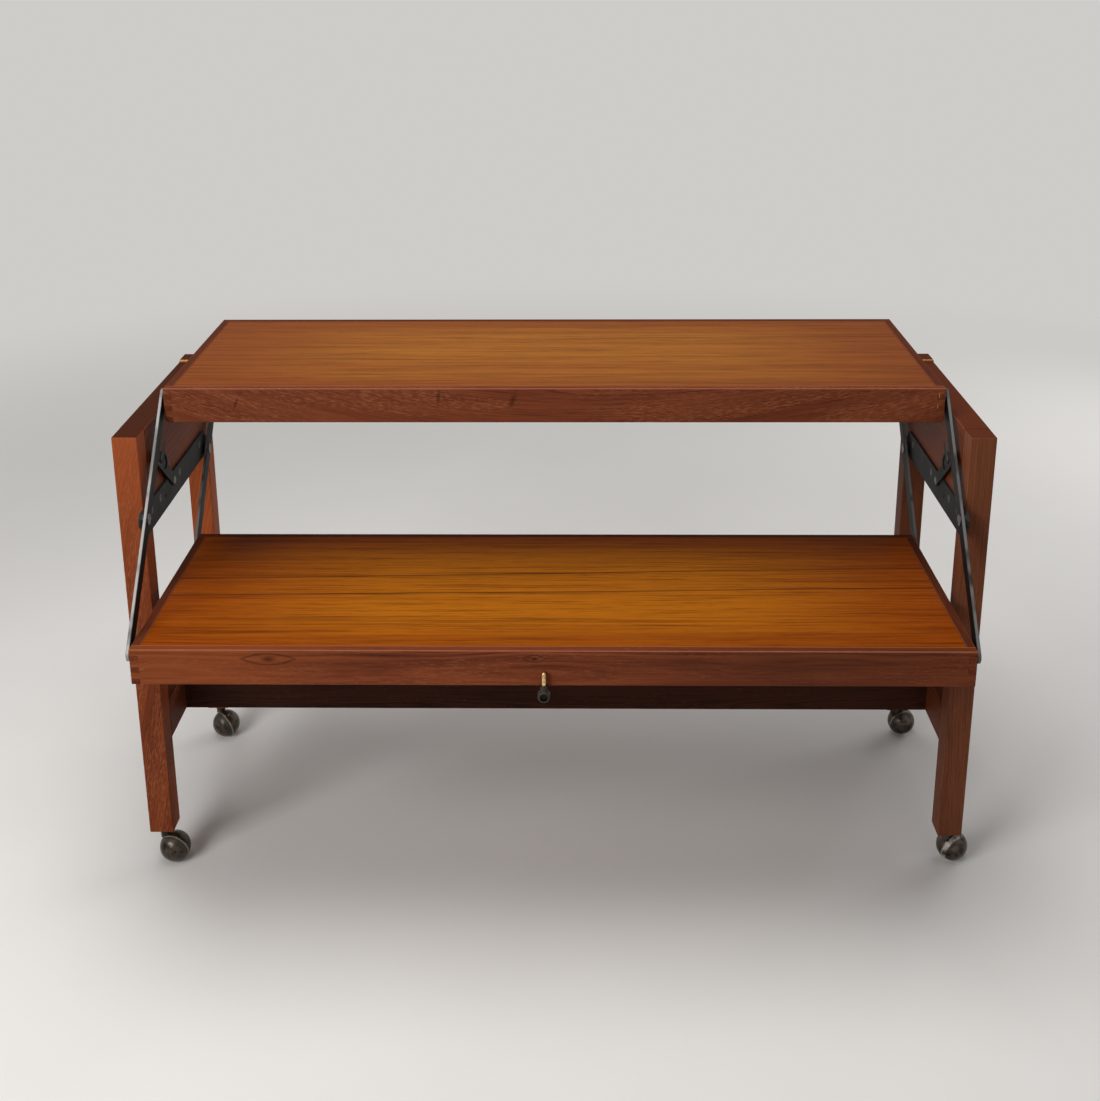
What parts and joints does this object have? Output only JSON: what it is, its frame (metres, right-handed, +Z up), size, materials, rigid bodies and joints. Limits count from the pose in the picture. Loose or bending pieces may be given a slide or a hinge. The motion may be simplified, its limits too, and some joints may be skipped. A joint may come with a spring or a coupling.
{
  "type": "drop leaf tea trolley",
  "caption": "Teak tea trolley on ball casters whose stacked trays swing on parallel steel arms to lie level side by side as one table top.",
  "frame": {"origin": "centre of the bounding box at floor level, in the trolley pose with the upper tray set back", "axes": "+X along the trays' length to the right, +Y to the back where the upper tray is set, +Z up"},
  "size_m": [1.1058, 0.5606, 0.6535],
  "materials": {
    "teak_board": "oiled",
    "teak_frame": "oiled",
    "upper_veneer": "satin",
    "lower_veneer": "satin",
    "batten_wood": "raw",
    "black_steel": "satin",
    "bright_steel": "worn",
    "dark_steel": "blackened",
    "brass": "aged",
    "bronze": "dark patina",
    "tread": "worn",
    "knob_black": "satin"
  },
  "bodies": {
    "base": {"leg_front_left": "teak_frame", "leg_front_right": "teak_frame", "leg_rear_left": "teak_frame", "leg_rear_right": "teak_frame", "top_rail_left": "teak_frame", "top_rail_right": "teak_frame", "side_stretcher_left": "teak_frame", "side_stretcher_right": "teak_frame", "cross_rail": "teak_frame", "pivot_rail_left": "black_steel", "pivot_rail_right": "black_steel", "rail_screws": "dark_steel", "pivot_studs": "dark_steel", "pivot_spacers": "dark_steel", "stay_studs": "dark_steel", "caster_sockets": "brass"},
    "left_front_arm": {"arm_front_left": "black_steel", "stay_pin_left": "bright_steel"},
    "right_front_arm": {"arm_front_right": "black_steel", "stay_pin_right": "bright_steel"},
    "left_rear_arm": {"arm_rear_left": "black_steel"},
    "right_rear_arm": {"arm_rear_right": "black_steel"},
    "left_stay": {"stay_left": "black_steel"},
    "right_stay": {"stay_right": "black_steel"},
    "latch": {"latch_rod": "brass", "latch_knob": "knob_black", "latch_cam": "bright_steel"},
    "upper_tray": {"upper_front_board": "teak_board", "upper_rear_board": "teak_board", "upper_left_board": "teak_board", "upper_right_board": "teak_board", "upper_panel": "upper_veneer", "upper_battens": "batten_wood", "upper_pivot_screws": "bright_steel", "upper_pivot_washers": "bright_steel"},
    "lower_tray": {"lower_front_board": "teak_board", "lower_rear_board": "teak_board", "lower_left_board": "teak_board", "lower_right_board": "teak_board", "lower_panel": "lower_veneer", "lower_battens": "batten_wood", "lower_pivot_screws": "bright_steel", "lower_pivot_washers": "bright_steel"},
    "front_left_caster": {"caster_front_left_hood": "bronze", "caster_front_left_axle": "bright_steel"},
    "front_left_wheel": {"caster_front_left_wheel": "bronze", "caster_front_left_tread": "tread"},
    "front_right_caster": {"caster_front_right_hood": "bronze", "caster_front_right_axle": "bright_steel"},
    "front_right_wheel": {"caster_front_right_wheel": "bronze", "caster_front_right_tread": "tread"},
    "rear_left_caster": {"caster_rear_left_hood": "bronze", "caster_rear_left_axle": "bright_steel"},
    "rear_left_wheel": {"caster_rear_left_wheel": "bronze", "caster_rear_left_tread": "tread"},
    "rear_right_caster": {"caster_rear_right_hood": "bronze", "caster_rear_right_axle": "bright_steel"},
    "rear_right_wheel": {"caster_rear_right_wheel": "bronze", "caster_rear_right_tread": "tread"}
  },
  "joints": [
    {"name": "swing", "type": "hinge", "parent": "base", "child": "left_front_arm", "pos_m": [-0.51093, -0.1431, 0.5135], "axis": [-1, 0, 0], "range_deg": [0, 49.04]},
    {"name": "right_front_swing", "type": "hinge", "parent": "base", "child": "right_front_arm", "pos_m": [0.49407, -0.1431, 0.5135], "axis": [-1, 0, 0], "range_deg": [0, 49.04]},
    {"name": "left_rear_swing", "type": "hinge", "parent": "base", "child": "left_rear_arm", "pos_m": [-0.51093, 0.1549, 0.4945], "axis": [-1, 0, 0], "range_deg": [0, 49.04]},
    {"name": "right_rear_swing", "type": "hinge", "parent": "base", "child": "right_rear_arm", "pos_m": [0.49407, 0.1549, 0.4945], "axis": [-1, 0, 0], "range_deg": [0, 49.04]},
    {"name": "upper_tray_level", "type": "hinge", "parent": "left_front_arm", "child": "upper_tray", "pos_m": [-0.51093, -0.03373, 0.6395], "axis": [1, 0, 0], "range_deg": [0, 49.04]},
    {"name": "lower_tray_level", "type": "hinge", "parent": "left_front_arm", "child": "lower_tray", "pos_m": [-0.51093, -0.25247, 0.3875], "axis": [1, 0, 0], "range_deg": [0, 49.04]},
    {"name": "left_stay_turn", "type": "hinge", "parent": "base", "child": "left_stay", "pos_m": [-0.51518, -0.0071, 0.511], "axis": [1, 0, 0], "range_deg": [0, 62.48]},
    {"name": "right_stay_turn", "type": "hinge", "parent": "base", "child": "right_stay", "pos_m": [0.49832, -0.0071, 0.511], "axis": [1, 0, 0], "range_deg": [0, 62.48]},
    {"name": "latch_turn", "type": "hinge", "parent": "lower_tray", "child": "latch", "pos_m": [-0.01743, -0.26847, 0.374], "axis": [0, 1, 0], "range_deg": [-90, 90]},
    {"name": "front_left_swivel", "type": "hinge", "parent": "base", "child": "front_left_caster", "pos_m": [-0.53693, -0.1134, 0.05], "axis": [0, 0, 1], "continuous": true},
    {"name": "front_left_roll", "type": "hinge", "parent": "front_left_caster", "child": "front_left_wheel", "pos_m": [-0.52438, -0.11676, 0.0205], "axis": [-0.2511, -0.9372, -0.2419], "continuous": true},
    {"name": "front_right_swivel", "type": "hinge", "parent": "base", "child": "front_right_caster", "pos_m": [0.52007, -0.1134, 0.05], "axis": [0, 0, 1], "continuous": true},
    {"name": "front_right_roll", "type": "hinge", "parent": "front_right_caster", "child": "front_right_wheel", "pos_m": [0.53109, -0.10651, 0.0205], "axis": [0.5142, -0.8229, -0.2419], "continuous": true},
    {"name": "rear_left_swivel", "type": "hinge", "parent": "base", "child": "rear_left_caster", "pos_m": [-0.53693, 0.1986, 0.05], "axis": [0, 0, 1], "continuous": true},
    {"name": "rear_left_roll", "type": "hinge", "parent": "rear_left_caster", "child": "rear_left_wheel", "pos_m": [-0.52774, 0.18941, 0.0205], "axis": [-0.6861, -0.6861, -0.2419], "continuous": true},
    {"name": "rear_right_swivel", "type": "hinge", "parent": "base", "child": "rear_right_caster", "pos_m": [0.52007, 0.1986, 0.05], "axis": [0, 0, 1], "continuous": true},
    {"name": "rear_right_roll", "type": "hinge", "parent": "rear_right_caster", "child": "rear_right_wheel", "pos_m": [0.53243, 0.20262, 0.0205], "axis": [0.2998, -0.9228, -0.2419], "continuous": true}
  ],
  "couplings": [
    {"joint": "right_front_swing", "follows": "swing", "ratio": 1},
    {"joint": "left_rear_swing", "follows": "swing", "ratio": 1},
    {"joint": "right_rear_swing", "follows": "swing", "ratio": 1},
    {"joint": "upper_tray_level", "follows": "swing", "ratio": 1},
    {"joint": "lower_tray_level", "follows": "swing", "ratio": 1},
    {"joint": "left_stay_turn", "follows": "swing", "ratio": 1.2739},
    {"joint": "right_stay_turn", "follows": "swing", "ratio": 1.2739}
  ]
}
